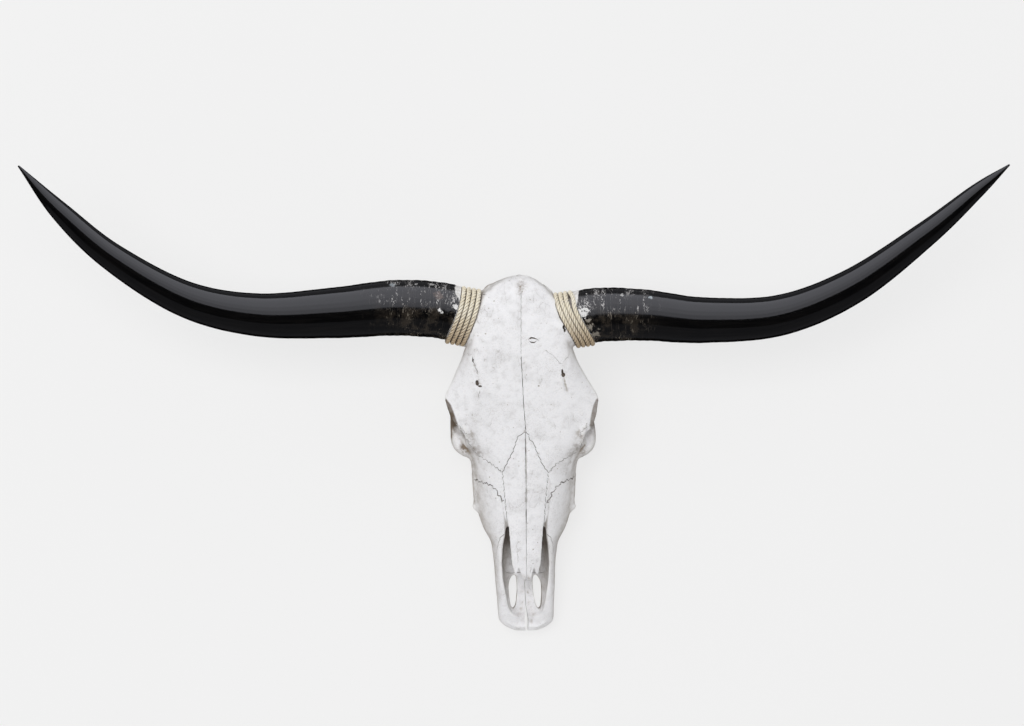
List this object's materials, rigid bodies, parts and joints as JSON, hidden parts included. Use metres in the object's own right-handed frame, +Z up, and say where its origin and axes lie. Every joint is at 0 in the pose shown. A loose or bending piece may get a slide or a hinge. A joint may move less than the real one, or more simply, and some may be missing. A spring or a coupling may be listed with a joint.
{
  "type": "longhorn steer skull",
  "caption": "Bleached skull of a longhorn steer with wide dark horns and rope wrapped round each horn core, lying face up on its cheek teeth.",
  "frame": {"origin": "on the surface that the skull rests on, at the middle of the whole model's box", "axes": "+X along the span of the horns, towards the horn on the right of the picture; +Y along the skull, from the snout towards the poll; +Z up, out of the forehead"},
  "size_m": [1.3827, 0.6679, 0.2548],
  "materials": {
    "bone": "matt bleached bone with fine cracks, pits and light stains",
    "horn": "polished near-black horn with pale scuffs near its base",
    "rope": "laid three-strand natural fibre cord"
  },
  "bodies": {
    "root": {"cranium": "bone", "nasal_left": "bone", "nasal_right": "bone", "premaxilla_left": "bone", "premaxilla_right": "bone", "horn_left": "horn", "horn_right": "horn", "rope_left": "rope", "rope_right": "rope"}
  },
  "joints": []
}
